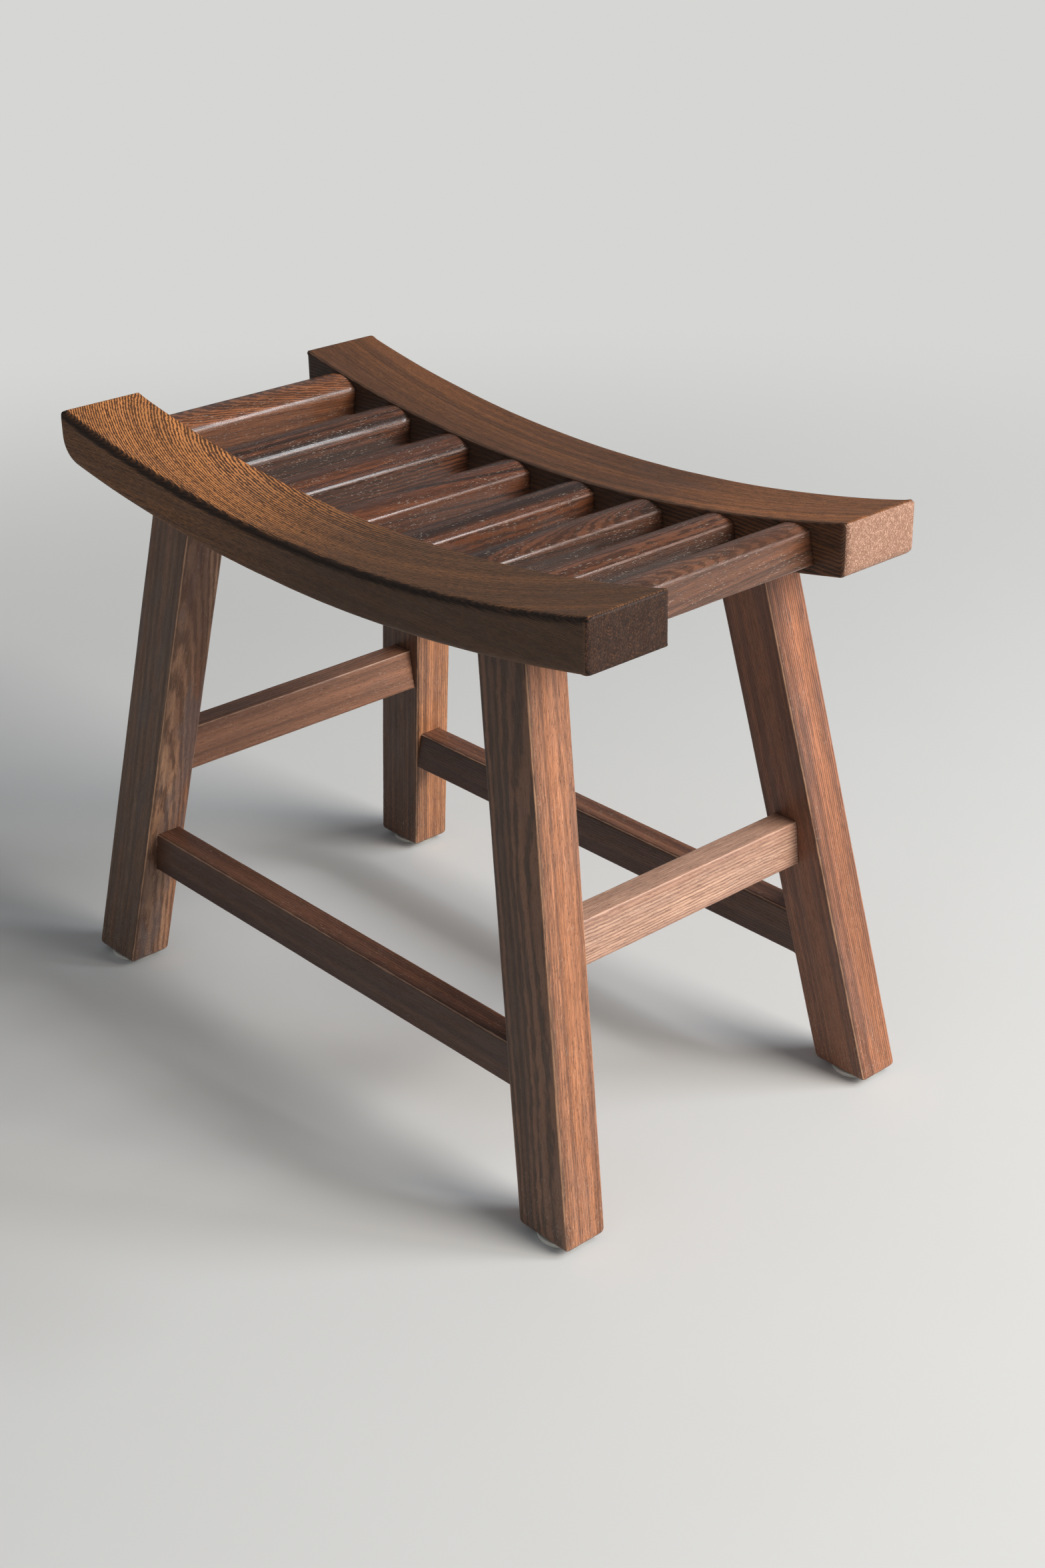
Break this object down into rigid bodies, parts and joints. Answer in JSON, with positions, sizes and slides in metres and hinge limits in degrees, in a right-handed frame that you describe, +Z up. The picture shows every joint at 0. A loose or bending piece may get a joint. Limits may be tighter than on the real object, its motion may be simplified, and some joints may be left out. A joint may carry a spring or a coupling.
{
  "type": "saddle stool",
  "caption": "Low wooden saddle stool: curved side rails with domed slats between them, splayed legs tied by stretchers, and round glide pads.",
  "frame": {"origin": "on the floor under the middle of the seat", "axes": "+X along the curved rails, to the right; -Y is the front; +Z up"},
  "size_m": [0.42, 0.2436, 0.3318],
  "materials": {
    "rail_wood": "dark stained, satin lacquer",
    "slat_wood": "dark stained, semi-gloss lacquer",
    "leg_wood": "dark stained, satin lacquer",
    "stretcher_wood": "dark stained, satin lacquer",
    "glide_pad": "milky soft plastic"
  },
  "bodies": {
    "root": {"front_rail": "rail_wood", "back_rail": "rail_wood", "slat_1": "slat_wood", "slat_2": "slat_wood", "slat_3": "slat_wood", "slat_4": "slat_wood", "slat_5": "slat_wood", "slat_6": "slat_wood", "slat_7": "slat_wood", "slat_8": "slat_wood", "leg_front_left": "leg_wood", "leg_front_right": "leg_wood", "leg_back_left": "leg_wood", "leg_back_right": "leg_wood", "long_stretcher_front": "stretcher_wood", "long_stretcher_back": "stretcher_wood", "short_stretcher_left": "stretcher_wood", "short_stretcher_right": "stretcher_wood", "pad_front_left": "glide_pad", "pad_front_right": "glide_pad", "pad_back_left": "glide_pad", "pad_back_right": "glide_pad"}
  },
  "joints": []
}
